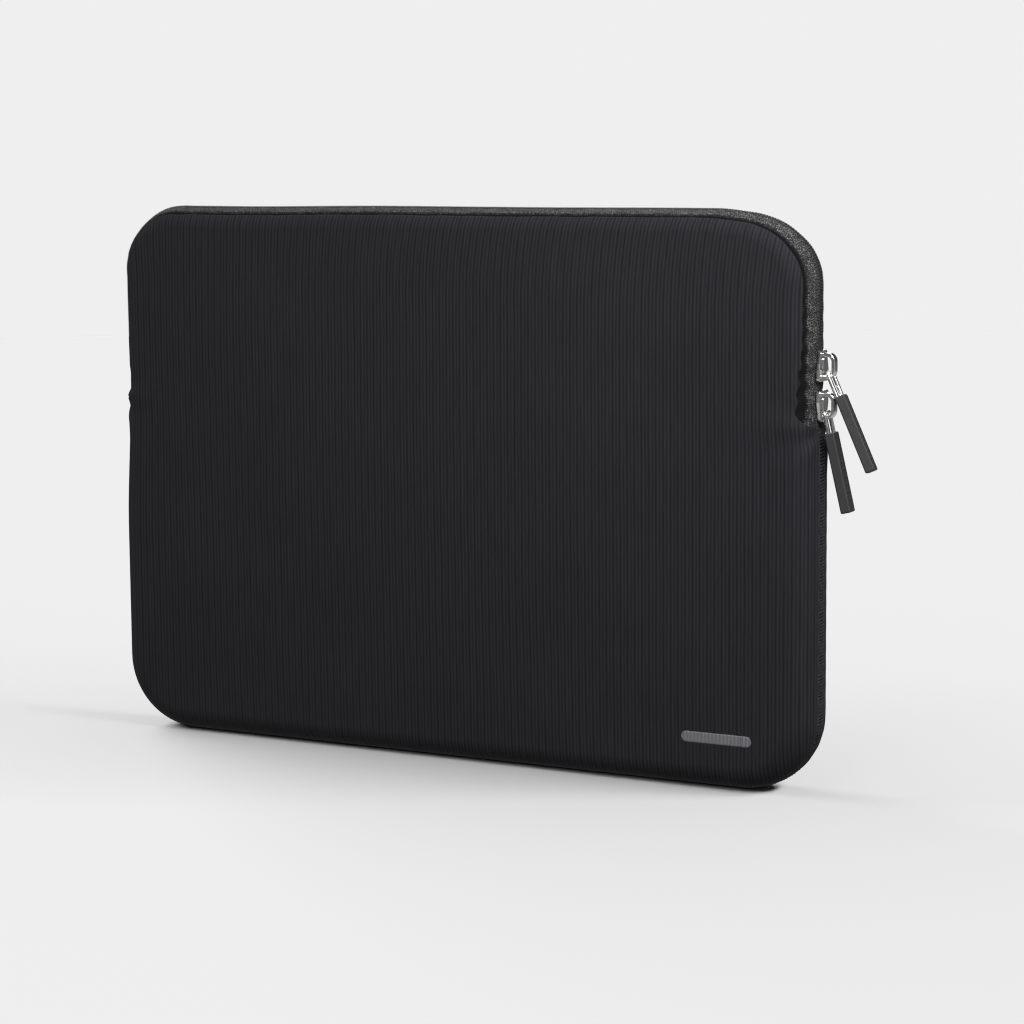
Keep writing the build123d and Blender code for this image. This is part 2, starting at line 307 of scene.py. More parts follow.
# ------------------------------------------------------------------ relief of the panels
# u is the flattened x of the fabric and v its flattened z
def bulge(side, u, v):
    """Soft crown and slack of the filled panel, in mm outwards."""
    crown_u = np.clip(1 - (u / 158.0) ** 2, 0, 1) ** 0.8
    crown = crown_u * np.clip(1 - ((v - HEIGHT / 2) / 108.0) ** 2, 0, 1) ** 0.8
    slack = 0.30 * noise2(u, v, 46.0, 1 + side) + 0.16 * noise2(u, v, 21.0, 4 + side)
    return 1.5 * crown + slack * np.clip(crown * 2.2, 0, 1)


def rib_u(u, v):
    """Pattern coordinate across the ribs: a little uneven, and leaning near the top edge."""
    lean = 4.2 * np.clip((v - 196.0) / 40.0, 0, 1.4) ** 2 * smooth(-150, 20, u)
    return u - lean + 0.22 * noise2(u, v, 44.0, 12) + 0.07 * noise2(u, v, 9.0, 13)


def rib_height(u, v):
    """Knit rib: narrow grooves, one deep and one shallow in each repeat, a little uneven."""
    phase = rib_u(u, v) / RIB_PITCH
    nearest = np.round(phase)
    away = np.abs(phase - nearest)               # 0 at the deep groove, 0.5 at the shallow one
    deep = np.exp(-(away / 0.110) ** 2)
    shallow = np.exp(-((0.5 - away) / 0.105) ** 2)
    each = np.random.RandomState(SEED + 7).uniform(0.55, 1.25, 512)
    deep_size = each[nearest.astype(int) % 512]
    shallow_size = each[(np.floor(phase).astype(int) + 211) % 512]
    vary = 1 + 0.30 * noise2(u * 2.0, v, 17.0, 14)
    return 0.05 - (0.21 * deep * deep_size + 0.17 * shallow * shallow_size) * vary


def puckers(side, points):
    """Gathers round both zipper ends, and small ones along the side seams."""
    x, y, z = points[:, 0], np.abs(points[:, 1]), points[:, 2]
    height = np.zeros(len(points))
    for end, amount in ((1, 0.62), (-1, 0.55)):
        dx, dz = x * end - (WIDTH / 2 - 1.0), z - (FOLD_Z - 1.0)
        radius = np.sqrt((dx * 0.8) ** 2 + dz ** 2 + (y * 0.5) ** 2)
        angle = np.arctan2(dz, y + np.abs(dx) * 0.6 + 0.3)
        folds = np.cos(angle * 7.0 + 0.6 * side)
        height += amount * folds * np.exp(-(radius / 15.0) ** 2) * smooth(0.5, 4.0, radius)
    near = np.exp(-(y / 4.5) ** 2) * smooth(WIDTH / 2 - 18, WIDTH / 2 - 4, np.abs(x))
    low = 1 - smooth(FOLD_Z - 16, FOLD_Z - 6, z)
    ripple = np.sin(z / 8.2 * 2 * math.pi + 1.3 * noise1(z, 14.0, 8))
    return height + 0.22 * ripple * near * low


# ------------------------------------------------------------------ panels
class Panel:
    """One padded panel: a flat rounded middle that rolls over at the rim to a lip."""

    def __init__(self, side, column_width, rows, corner_steps):
        self.side = side
        sweep = np.linspace(math.pi / 2, 0, corner_steps + 1)
        corner = CORNER_X + FLAT_R * np.sin(sweep)
        columns = int(round(2 * CORNER_X / column_width))
        middle = np.linspace(-CORNER_X, CORNER_X, columns + 1)
        x = np.concatenate([-corner[:-1], middle, corner[::-1][1:]])
        over = np.clip(np.abs(x) - CORNER_X, 0, FLAT_R)
        reach = np.sqrt(np.maximum(FLAT_R ** 2 - over ** 2, 0))
        bottom, top = (LOW_Z - reach)[:, None], (HIGH_Z + reach)[:, None]
        z = bottom + (top - bottom) * np.linspace(0, 1, rows + 1)
        self.shape = z.shape
        self.middle = np.c_[np.repeat(x, rows + 1), z.ravel()]
        # border of the middle: points, outward normals, arc length
        self.border = grid_border(*self.shape)
        self.edge = self.middle[self.border]
        centre = np.c_[np.clip(self.edge[:, 0], -CORNER_X, CORNER_X),
                       np.clip(self.edge[:, 1], LOW_Z, HIGH_Z)]
        spoke = self.edge - centre
        self.normal = spoke / np.maximum(np.hypot(spoke[:, 0], spoke[:, 1]), 1e-9)[:, None]
        steps = np.hypot(*np.diff(self.edge, axis=0).T)
        self.distance = np.concatenate([[0], np.cumsum(steps)])

    def lips(self):
        """|y| of the lip edge and radius of its rolled hem, for every border point."""
        x, z = self.edge.T
        mouth_z, mouth_r = FOLD_Z + 4.0, 5.0     # the mouth closes in a rounded end
        base = 9.1 if self.side < 0 else 8.5
        widening = np.where(x > 0, 1.0, 0.6)
        mouth = base + widening * (1 - smooth(mouth_z + 6, mouth_z + 34, z))
        below = np.clip(mouth_z - z, 0, mouth_r) / mouth_r
        mouth = mouth * np.sqrt(np.clip(1 - below ** 2, 0, 1))
        lip_y = mouth + HEM_R * (1 + np.clip((mouth - ROLL_Y) / ROLL_R, 0, 1))
        # uneven edge, with gathers up the right side
        gathers = (0.22 * np.sin((z - mouth_z) / WAVE_PITCH * 2 * math.pi)
                   * (1 - smooth(mouth_z + 30, mouth_z + 58, z)))
        uneven = (0.10 * noise1(self.distance, 9.0, 3 + self.side)
                  + 0.05 * noise1(self.distance, 3.0, 5 + self.side)
                  + np.where((x > 0) & (z < HIGH_Z + 4), gathers, 0))
        lip_y += np.where(z > mouth_z, uneven, 0)
        # the hem shrinks to almost nothing along the bottom fold
        fold = (self.normal[:, 1] < -0.999999) & (np.abs(x) < CORNER_X - 1)
        folded = np.where(fold, 1 - smooth(CORNER_X - 9, CORNER_X - 1, np.abs(x)), 0)
        hem = HEM_R * (1 - folded) + 0.05 * folded
        return np.where(z < mouth_z - mouth_r + 0.01, hem + 0.02, lip_y), hem

    def rim(self, depth, steps, lip_y, hem):
        """Points, normals and flattened distance of the rim, each (border point, step)."""
        radius = ROLL_R - depth
        lip_angle = np.arccos(np.clip((lip_y - ROLL_Y) / radius, 0, 1))[:, None]
        length = radius * lip_angle + np.maximum(ROLL_Y - lip_y, 0)[:, None]
        spread = length * (np.arange(1, steps + 1) / steps)
        angle = np.minimum(spread / radius, lip_angle)
        out = radius * np.sin(angle)
        # past the roll the fabric runs straight on towards y = 0
        y = ROLL_Y + radius * np.cos(angle) - np.maximum(spread - radius * angle, 0)
        if hem is not None:
            hem = hem[:, None]
            turn = np.radians(HEM_TURN) * np.arange(1, HEM_STEPS + 1) / HEM_STEPS
            rolled = lip_angle + turn
            last = rolled[:, -1:]
            hem_out = out[:, -1:] + hem * (np.sin(rolled) - np.sin(lip_angle))
            hem_y = y[:, -1:] + hem * (np.cos(rolled) - np.cos(lip_angle))
            hem_spread = length + hem * turn
            out = np.hstack([out, hem_out, hem_out[:, -1:] + HEM_TAIL * np.cos(last)])
            y = np.hstack([y, hem_y, hem_y[:, -1:] - HEM_TAIL * np.sin(last)])
            spread = np.hstack([spread, hem_spread, hem_spread[:, -1:] + HEM_TAIL])
            angle = np.hstack([angle, rolled, last])
        normal = self.normal[:, None]
        points = in_space(self.edge[:, None] + normal * out[..., None],
                          self.side * np.maximum(y, 0.0))
        normals = in_space(normal * np.sin(angle)[..., None], self.side * np.cos(angle))
        return points, normals, spread

    def sheet(self, depth, steps, lip_y, hem=None):
        """Points, uv in mm, faces and rim rings of one sheet. With a hem it is a ribbed skin."""
        rim_points, rim_normals, spread = self.rim(depth, steps, lip_y, hem)
        count, rings = spread.shape
        flat = in_space(self.middle, self.side * (THICK / 2 - depth))
        points = np.vstack([flat, rim_points.reshape(-1, 3)])
        normals = np.vstack([in_space(np.zeros_like(self.middle), float(self.side)),
                             rim_normals.reshape(-1, 3)])
        rim_uv = self.edge[:, None] + self.normal[:, None] * spread[..., None]
        uv = np.vstack([self.middle, rim_uv.reshape(-1, 2)])
        height = bulge(self.side, *uv.T)
        if hem is not None:
            part = np.tile(np.arange(1, rings + 1), count) / steps
            part = np.concatenate([np.zeros(len(flat)), part])
            fade = 1 - 0.55 * smooth(0.90, 1.0, part) - 0.45 * smooth(1.0, 1.25, part)
            height = height + rib_height(*uv.T) * fade + puckers(self.side, points)
        points = points + normals * height[:, None]
        ring = len(flat) + np.arange(count * rings).reshape(count, rings)
        ring = np.concatenate([self.border[:, None], ring], 1)
        faces = [outward(grid_faces(*self.shape), points, normals),
                 outward(wall(ring[:, :-1], ring[:, 1:]), points, normals)]
        return points, uv, faces, ring


# ------------------------------------------------------------------ shader graph helpers
class Graph:
    """Short calls for writing a node tree."""

    def __init__(self, tree):
        self.tree = tree
        tree.nodes.clear()

    def new(self, kind, **settings):
        node = self.tree.nodes.new(kind)
        for key, value in settings.items():
            setattr(node, key, value)
        return node

    def feed(self, socket, value):
        """Link a socket or set a value; a tuple is a colour."""
        if isinstance(value, bpy.types.NodeSocket):
            self.tree.links.new(value, socket)
        else:
            socket.default_value = (*value, 1.0) if isinstance(value, tuple) else value

    def math(self, operation, *values):
        node = self.new("ShaderNodeMath", operation=operation)
        for socket, value in zip(node.inputs, values):
            self.feed(socket, value)
        return node.outputs[0]

    def total(self, values):
        return reduce(lambda left, right: self.math("ADD", left, right), values)

    def blend(self, *parts):
        """Sum of (value, weight) parts."""
        return self.total([self.math("MULTIPLY", value, weight) for value, weight in parts])

    def remap(self, value, span, to, kind="LINEAR"):
        node = self.new("ShaderNodeMapRange", interpolation_type=kind)
        for socket, item in zip(node.inputs, (value, *span, *to)):
            self.feed(socket, item)
        return node.outputs[0]

    def split(self, vector):
        node = self.new("ShaderNodeSeparateXYZ")
        self.feed(node.inputs[0], vector)
        return node.outputs


class Material(Graph):
    """A material with one Principled shader."""

    INPUTS = {"color": "Base Color", "rough": "Roughness", "metal": "Metallic",
              "normal": "Normal", "sheen": "Sheen Weight", "sheen_rough": "Sheen Roughness",
              "sheen_tint": "Sheen Tint", "spec": "Specular IOR Level"}

    def __init__(self, name):
        self.material = bpy.data.materials.new(name)
        self.material.use_nodes = True
        super().__init__(self.material.node_tree)
        output = self.new("ShaderNodeOutputMaterial")
        self.shader = self.new("ShaderNodeBsdfPrincipled")
        self.feed(output.inputs[0], self.shader.outputs[0])

    def surface(self, **values):
        """Set the shader's inputs and return the finished material."""
        for key, value in values.items():
            self.feed(self.shader.inputs[self.INPUTS[key]], value)
        return self.material

    def uv(self):
        return self.new("ShaderNodeUVMap", uv_map="UVMap").outputs[0]

    def position(self):
        return self.new("ShaderNodeTexCoord").outputs["Object"]

    def pointiness(self):
        return self.new("ShaderNodeNewGeometry").outputs["Pointiness"]

    def stretch(self, vector, scale):
        node = self.new("ShaderNodeMapping")
        node.inputs["Scale"].default_value = scale
        self.feed(node.inputs[0], vector)
        return node.outputs[0]

    def noise(self, vector, scale, detail=2.0, rough=0.5):
        node = self.new("ShaderNodeTexNoise")
        self.feed(node.inputs["Vector"], vector)
        self.feed(node.inputs["Scale"], scale)
        self.feed(node.inputs["Detail"], detail)
        self.feed(node.inputs["Roughness"], rough)
        return node.outputs["Fac"]

    def wave(self, x, pitch, phase=0.0):
        """0 to 1 cosine wave along x, with the pitch in mm."""
        angle = self.math("MULTIPLY_ADD", x, 2 * math.pi / pitch, phase)
        return self.math("MULTIPLY_ADD", self.math("COSINE", angle), 0.5, 0.5)

    def ramp(self, value, stops):
        """Colour ramp; stops are (position, colour)."""
        node = self.new("ShaderNodeValToRGB")
        elements = node.color_ramp.elements
        while len(elements) < len(stops):
            elements.new(0.5)
        for element, (position, color) in zip(elements, stops):
            element.position = position
            element.color = (*color, 1.0)
        self.feed(node.inputs[0], value)
        return node.outputs[0]

    def bump(self, height, distance, strength=1.0, under=None):
        """Bump with its distance in metres, on top of the normal under."""
        node = self.new("ShaderNodeBump")
        self.feed(node.inputs["Strength"], strength)
        self.feed(node.inputs["Distance"], distance)
        self.feed(node.inputs["Height"], height)
        if under is not None:
            self.feed(node.inputs["Normal"], under)
        return node.outputs[0]


# ------------------------------------------------------------------ materials
def rib_knit():
    mat = Material("rib_knit")
    uv = mat.uv()
    v = mat.split(uv)[1]
    # the tint attribute is the pattern coordinate across the ribs, in mm
    across = mat.new("ShaderNodeAttribute", attribute_name="tint").outputs["Fac"]
    wander = mat.math("SUBTRACT", mat.noise(uv, scale=0.35), 0.5)
    across = mat.math("ADD", across, mat.math("MULTIPLY", wander, 0.16))
    # lines is 0 in both grooves of each rib repeat and 1 between them; it drives the bump and also
    # paints the crests lighter and the grooves darker, as painted light and shade
    lines = mat.math("SUBTRACT", 1.0, mat.wave(across, pitch=RIB_PITCH / 2))
    stitch = mat.math("MULTIPLY", mat.wave(across, pitch=RIB_PITCH / 6, phase=0.7),
                      mat.wave(v, pitch=0.85))
    # groove peaks in the deep groove of each repeat, where it paints shade into the colour
    groove = mat.math("COSINE", mat.math("MULTIPLY", across, math.pi / RIB_PITCH))
    groove = mat.math("POWER", mat.math("ABSOLUTE", groove), 10.0)
    fuzz = mat.noise(uv, scale=1.6, detail=3.0, rough=0.65)
    broad = mat.noise(uv, scale=0.02, detail=3.0)
    streak = mat.noise(mat.stretch(uv, (1.0, 0.05, 1.0)), scale=0.9, detail=3.0, rough=0.7)
    tone = mat.blend((lines, 0.30), (streak, 0.50), (fuzz, 0.24), (broad, 0.16))
    # painted shade: the colour is darkened in the deep grooves
    tone = mat.math("SUBTRACT", tone, mat.math("MULTIPLY", groove, 0.16))
    color = mat.ramp(tone, [(0.12, (0.0056, 0.0056, 0.0062)), (0.45, (0.0112, 0.0112, 0.0124)),
                            (0.80, (0.0205, 0.0205, 0.0225))])
    normal = mat.bump(lines, distance=0.00010, strength=0.8)
    normal = mat.bump(stitch, distance=0.00007, strength=0.55, under=normal)
    normal = mat.bump(fuzz, distance=0.00008, strength=0.5, under=normal)
    rough = mat.remap(fuzz, span=(0.3, 0.7), to=(0.72, 0.95))
    return mat.surface(color=color, rough=rough, normal=normal, sheen=0.03, sheen_rough=0.45,
                       sheen_tint=(0.80, 0.78, 0.90), spec=0.12)


def weave(name, base, light, pitch_along, pitch_across, contrast, chevron=False, crevice=None):
    """Woven tape with light floats; uv is along the strip and across it, in mm.
    Beyond crevice mm across, the tape is painted near black as painted shade in the crevice under
    the lip."""
    mat = Material(name)
    uv = mat.uv()
    along, across = mat.split(uv)[:2]
    if chevron:
        zigzag = mat.math("PINGPONG", across, 1.05)
        along = mat.math("ADD", along, mat.math("MULTIPLY", zigzag, 0.95))
    jitter = mat.noise(uv, scale=1.1)
    along = mat.math("ADD", along, mat.math("MULTIPLY", jitter, 0.35))
    yarn = mat.wave(along, pitch=pitch_along)
    crossing = mat.wave(mat.math("ADD", across, mat.math("MULTIPLY", jitter, 0.2)),
                        pitch=pitch_across)
    cell = mat.math("MULTIPLY", yarn, mat.math("MULTIPLY_ADD", crossing, 0.6, 0.4))
    speck = mat.noise(uv, scale=1.35, detail=3.0, rough=0.7)
    broad = mat.noise(uv, scale=0.18)
    tone = mat.blend((cell, 0.45), (mat.remap(speck, span=(0.39, 0.62), to=(0.0, 1.0)), 0.55))
    tone = mat.math("MULTIPLY_ADD", mat.math("SUBTRACT", broad, 0.5), 0.35, tone)
    low = tuple(c * (1 - 0.62 * contrast) for c in base)
    high = tuple(c + (bright - c) * contrast for c, bright in zip(base, light))
    color = mat.ramp(tone, [(0.15, low), (0.50, base), (0.88, high)])
    if crevice:
        # painted shade: past crevice mm across the colour fades to near black, the shade under the
        # panel's lip
        mix = mat.new("ShaderNodeMix", data_type="RGBA")
        mat.feed(mix.inputs[0], mat.remap(across, span=(crevice, crevice + 0.4), to=(0.0, 1.0)))
        mat.feed(mix.inputs[6], color)                         # inputs 6 and 7 are the colours
        mat.feed(mix.inputs[7], (0.0035, 0.0035, 0.0036))
        color = mix.outputs[2]
    normal = mat.bump(cell, distance=0.00016, strength=0.9)
    normal = mat.bump(speck, distance=0.00008, strength=0.5, under=normal)
    return mat.surface(color=color, rough=0.8, normal=normal, sheen=0.02, sheen_rough=0.4,
                       spec=0.12)


def zipper_coil():
    mat = Material("zipper_coil")
    position = mat.position()
    grain = mat.noise(position, scale=900.0)
    broad = mat.noise(position, scale=60.0)
    color = mat.ramp(mat.blend((grain, 0.6), (broad, 0.4)),
                     [(0.3, (0.013, 0.0135, 0.013)), (0.7, (0.027, 0.028, 0.027))])
    return mat.surface(color=color, rough=mat.remap(grain, span=(0.3, 0.7), to=(0.42, 0.6)),
                       normal=mat.bump(grain, distance=0.00004, strength=0.4), spec=0.22)


def thread(name, dark, light):
    mat = Material(name)
    position = mat.position()
    fibre = mat.noise(position, scale=1500.0)
    fleck = mat.noise(position, scale=420.0, detail=3.0, rough=0.7)
    color = mat.ramp(mat.blend((fibre, 0.4), (fleck, 0.6)), [(0.32, dark), (0.68, light)])
    return mat.surface(color=color, rough=0.6, sheen=0.05, spec=0.22,
                       normal=mat.bump(fibre, distance=0.00006, strength=0.7))


def plush_lining():
    mat = Material("plush_lining")
    uv = mat.uv()
    pile = mat.noise(uv, scale=1.9, detail=4.0, rough=0.7)
    lay = mat.noise(uv, scale=0.045, detail=3.0, rough=0.6)
    color = mat.ramp(mat.blend((pile, 0.55), (lay, 0.45)),
                     [(0.30, (0.018, 0.018, 0.020)), (0.70, (0.060, 0.060, 0.066))])
    normal = mat.bump(pile, distance=0.00030, strength=0.9)
    normal = mat.bump(lay, distance=0.0006, strength=0.35, under=normal)
    return mat.surface(color=color, rough=0.95, normal=normal, sheen=0.45, sheen_rough=0.35,
                       sheen_tint=(0.8, 0.8, 0.86), spec=0.15)


def foam_core():
    mat = Material("foam_core")
    position = mat.position()
    voronoi = mat.new("ShaderNodeTexVoronoi")
    mat.feed(voronoi.inputs["Vector"], position)
    mat.feed(voronoi.inputs["Scale"], 1400.0)
    cells = voronoi.outputs["Distance"]
    broad = mat.noise(position, scale=90.0)
    color = mat.ramp(mat.blend((cells, 0.7), (broad, 0.4)),
                     [(0.2, (0.02, 0.02, 0.022)), (0.8, (0.075, 0.075, 0.08))])
    return mat.surface(color=color, rough=0.9, spec=0.2,
                       normal=mat.bump(cells, distance=0.0002, strength=0.8))


def nickel_plate():
    mat = Material("nickel_plate")
    position = mat.position()
    grain = mat.noise(position, scale=700.0, detail=3.0, rough=0.6)
    broad = mat.noise(position, scale=110.0)
    scratch = mat.noise(mat.stretch(position, (2600.0, 2600.0, 240.0)), scale=1.0)
    color = mat.ramp(broad, [(0.3, (0.72, 0.71, 0.69)), (0.7, (0.88, 0.875, 0.86))])
    worn = mat.remap(mat.pointiness(), span=(0.48, 0.56), to=(0.0, 0.06))
    marks = mat.blend((grain, 0.5), (scratch, 0.5))
    rough = mat.math("ADD", mat.remap(marks, span=(0.35, 0.65), to=(0.10, 0.22)), worn)
    return mat.surface(color=color, rough=rough, metal=1.0,
                       normal=mat.bump(grain, distance=0.00002, strength=0.25))


def spring_steel():
    mat = Material("spring_steel")
    brushed = mat.stretch(mat.position(), (3000.0, 3000.0, 200.0))
    grain = mat.noise(brushed, scale=1.0)
    color = mat.ramp(grain, [(0.3, (0.38, 0.38, 0.39)), (0.7, (0.56, 0.56, 0.57))])
    return mat.surface(color=color, rough=mat.remap(grain, span=(0.3, 0.7), to=(0.25, 0.42)),
                       metal=1.0, normal=mat.bump(grain, distance=0.00002, strength=0.4))


def grip_rubber():
    mat = Material("grip_rubber")
    position = mat.position()
    grain = mat.noise(position, scale=1700.0, detail=3.0, rough=0.6)
    broad = mat.noise(position, scale=120.0)
    # the colour turns lighter along sharp outward edges, where pointiness is high
    edge_lighter = mat.remap(mat.pointiness(), span=(0.50, 0.60), to=(0.0, 0.35))
    tone = mat.math("ADD", mat.blend((grain, 0.35), (broad, 0.45)), edge_lighter)
    color = mat.ramp(tone, [(0.25, (0.018, 0.018, 0.0177)), (0.60, (0.026, 0.026, 0.0255)),
                            (0.95, (0.052, 0.052, 0.050))])
    return mat.surface(color=color, rough=mat.remap(grain, span=(0.3, 0.7), to=(0.48, 0.66)),
                       normal=mat.bump(grain, distance=0.00005, strength=0.6), spec=0.4)


def printed_ink():
    mat = Material("printed_mark")
    uv = mat.uv()
    grain = mat.noise(uv, scale=2.2, detail=3.0, rough=0.7)
    ribs = mat.wave(mat.split(uv)[0], pitch=RIB_PITCH / 2)
    color = mat.ramp(mat.blend((grain, 0.7), (ribs, 0.3)),
                     [(0.25, (0.085, 0.085, 0.088)), (0.6, (0.15, 0.15, 0.155)),
                      (0.9, (0.22, 0.22, 0.225))])
    return mat.surface(color=color, rough=0.75, spec=0.3,
                       normal=mat.bump(grain, distance=0.00005, strength=0.6))


def pale_floor():
    mat = Material("pale_floor")
    color = mat.ramp(mat.noise(mat.position(), scale=40.0),
                     [(0.3, (0.80, 0.80, 0.80)), (0.7, (0.82, 0.82, 0.82))])
    return mat.surface(color=color, rough=0.9, spec=0.0)


RIB = rib_knit()
# crevice sets the |y| where the painted shade under the lip begins on each tape
TAPE = weave("zipper_tape_weave", base=(0.0225, 0.0228, 0.0217), light=(0.215, 0.215, 0.205),
             pitch_along=0.95, pitch_across=0.72, contrast=1.0, chevron=True, crevice=7.35)
TAPE_REAR = weave("zipper_tape_plain", base=(0.0115, 0.0121, 0.0105),
                  light=(0.026, 0.028, 0.023), pitch_along=0.60, pitch_across=0.55,
                  contrast=0.7, crevice=7.2)
TAPE_END = weave("zipper_end_weave", base=(0.0175, 0.0178, 0.0170),
                 light=(0.085, 0.085, 0.082), pitch_along=0.95, pitch_across=0.72,
                 contrast=0.9, chevron=True)
BINDING = weave("binding_grosgrain", base=(0.020, 0.020, 0.021), light=(0.045, 0.045, 0.047),
                pitch_along=0.85, pitch_across=3.0, contrast=0.8)
COIL = zipper_coil()
SEWING = thread("zipper_sewing_thread", dark=(0.007, 0.007, 0.0068),
                light=(0.038, 0.038, 0.037))
OVERLOCK = thread("overlock_thread", dark=(0.009, 0.009, 0.010), light=(0.026, 0.026, 0.028))
LINING = plush_lining()
FOAM = foam_core()
METAL = nickel_plate()
STEEL = spring_steel()
RUBBER = grip_rubber()
PRINT = printed_ink()


# ------------------------------------------------------------------ ties to the frame
def attach(piece, side, *replaced):
    """Front pieces are baked in place; rear pieces ride on the shell."""
    if side < 0:
        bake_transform(piece)
    else:
        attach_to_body(piece, "shell")
    if replaced:
        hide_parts(*replaced)


def attach_panel(piece, side, part):
    """The front panel stands in for the flap's part as well as the shell's."""
    flap_part = [f"front_flap_{part}"] if side < 0 else []
    attach(piece, side, *flap_part, f"shell_{part}")


# ------------------------------------------------------------------ skins, foam and lining
def ribbed_skin(side, tag):
    panel = Panel(side, column_width=RIB_PITCH / 12, rows=112, corner_steps=56)
    points, uv, faces, _ = panel.sheet(0.0, RIM_STEPS, *panel.lips())
    return make_mesh(f"ribbed_skin_{tag}", warp(points), faces, uv, RIB,
                     tint=rib_u(*uv.T))


def layer(name, panel, outer, inner, material, slot):
    """Outer and inner sheets, each (depth, lip |y|), joined round the edge."""
    points, uv, faces, ring = panel.sheet(outer[0], LAYER_RIM_STEPS, outer[1])
    back_points, back_uv, back_faces, back_ring = panel.sheet(inner[0], LAYER_RIM_STEPS, inner[1])
    base = len(points)
    edge = wall(ring[:, -1], back_ring[:, -1] + base)
    faces = faces + [group[:, ::-1] + base for group in back_faces]
    faces.append(edge if panel.side > 0 else edge[:, ::-1])
    return make_mesh(name, warp(np.vstack([points, back_points])), faces,
                     np.vstack([uv, back_uv]), material)


def foam_and_lining(side, tag):
    panel = Panel(side, column_width=3.0, rows=60, corner_steps=10)
    # 0 in the sewn zone, 1 in the zipper mouth
    mouth = smooth(FOLD_Z - 4, FOLD_Z + 4, panel.edge[:, 1])
    foam_lip = 0.25 * (1 - mouth) + 10.9 * mouth
    foam_inner_lip = np.where(mouth > 0.5, foam_lip - 0.9, foam_lip)
    lining_lip = 0.12 * (1 - mouth) + 5.7 * mouth
    foam = layer(f"foam_{tag}", panel, (1.0, foam_lip), (3.55, foam_inner_lip), FOAM, "foam")
    lining = layer(f"lining_{tag}", panel, (3.75, lining_lip), (4.45, lining_lip),
                   LINING, "lining")
    attach_panel(foam, side, "foam_core")
    attach_panel(lining, side, "lining")


skins = [ribbed_skin(side, tag) for side, tag in SIDES]
for skin, (side, _) in zip(skins, SIDES):
    attach_panel(skin, side, "face_fabric")
for side, tag in SIDES:
    foam_and_lining(side, tag)

# ------------------------------------------------------------------ zipper
# Tape face: raised over the coil, a gentle fall, then a crevice under the lip.
TAPE_Y = [0.0, 2.9, 3.4, 4.2, 5.2, 6.4, 7.4, 7.9, 8.3, 9.0, 9.8, 12.0]              # |y|
TAPE_DEPTH = [0.52, 0.54, 0.85, 1.05, 1.35, 1.80, 2.35, 3.60, 5.90, 7.10, 7.80, 9.50]
TAPE_RUNS = ((0.10, 2.9, 8), (3.15, 4.2, 5), (4.7, 7.4, 7), (7.6, 8.4, 4), (8.8, 10.0, 4))
TAPE_STRETCH_Y = 5.7             # outside this |y| the tape widens to its far edge
TAPE_FAR_Y = 10.0                # far edge before widening
TAPE_THICK = 0.6
BINDING_Y = np.array([5.4, 6.4, 7.4, 8.4, 9.3])
BINDING_DEPTHS = (1.0, 1.6)      # outer and inner face, below the tape face

# Coil bar stations: |y| from the outer edge in to the head, and bar radius
COIL_Y = np.array([2.95, 2.75, 2.2, 1.6, 1.0, 0.6, 0.30])
COIL_RADIUS = np.array([0.30, 0.46, 0.50, 0.50, 0.50, 0.52, 0.40])
COIL_MID_Y, COIL_REACH = 1.6, 1.3
# Thread rung stations: |y|, depth and radius
SEWING_Y = np.array([0.28, 0.55, 1.2, 1.9, 2.5, 2.85])
SEWING_DEPTH = 0.50 + np.array([0.12, -0.04, -0.10, -0.10, -0.04, 0.16])
SEWING_RADIUS = np.array([0.12, 0.22, 0.25, 0.25, 0.22, 0.12])


def tape_depth(y):
    return np.interp(y, TAPE_Y, TAPE_DEPTH)


def zipper_tape(side, tag):
    route = zipper_route(0.3125, FOLD_Z - 2.0)
    x, z = route.point.T
    far = (10.1 + 0.7 * (1 - smooth(FOLD_Z + 8, FOLD_Z + 34, z)))[:, None]
    flat = np.concatenate([np.linspace(*run) for run in TAPE_RUNS])[None, :]
    stretched = TAPE_STRETCH_Y + ((flat - TAPE_STRETCH_Y) * (far - TAPE_STRETCH_Y)
                                  / (TAPE_FAR_Y - TAPE_STRETCH_Y))
    top_y = np.where(flat > TAPE_STRETCH_Y, stretched, flat)
    low_y = top_y[:, ::-3]
    # rungs pressed through by the coil, and slight waviness
    rungs = np.cos(2 * math.pi * route.distance / RUNG)[:, None]
    relief = 0.07 * rungs * (1 - smooth(2.6, 3.4, top_y))
    along = route.distance[:, None] * np.ones_like(top_y)
    relief += 0.10 * noise2(along, top_y * 1.5, 4.0, 20 + side) * smooth(2.9, 4.5, top_y)
    # soft waves towards the right-hand end
    gather = ((x > 0) * (1 - smooth(FOLD_Z + 34, FOLD_Z + 62, z))
              * smooth(FOLD_Z + 2, FOLD_Z + 8, z))
    waves = np.sin((z - FOLD_Z) / WAVE_PITCH * 2 * math.pi + 0.8 * noise1(z, 9.0, 41))
    wave_size = 0.42 if side < 0 else 0.2
    relief += (wave_size * (gather * waves)[:, None]
               * smooth(3.2, 5.5, top_y) * (1 - smooth(8.2, 9.5, top_y)))
    low_depth = tape_depth(low_y) + TAPE_THICK + 0.3 * smooth(3.0, 5.0, low_y)
    across = np.concatenate([top_y, low_y], 1)
    depth = np.concatenate([tape_depth(top_y) - relief, low_depth], 1)
    return strip(f"zipper_tape_{tag}", route, side, across, depth,
                 TAPE if side < 0 else TAPE_REAR)


def seam_binding(side, tag):
    """Strip under the outer part of the tape."""
    face = tape_depth(BINDING_Y)
    outer, inner = BINDING_DEPTHS
    return strip(f"seam_binding_{tag}", zipper_route(1.0, FOLD_Z - 1.0), side,
                 np.concatenate([BINDING_Y, BINDING_Y[::-1]]),
                 np.concatenate([face + outer, face[::-1] + inner]), BINDING)


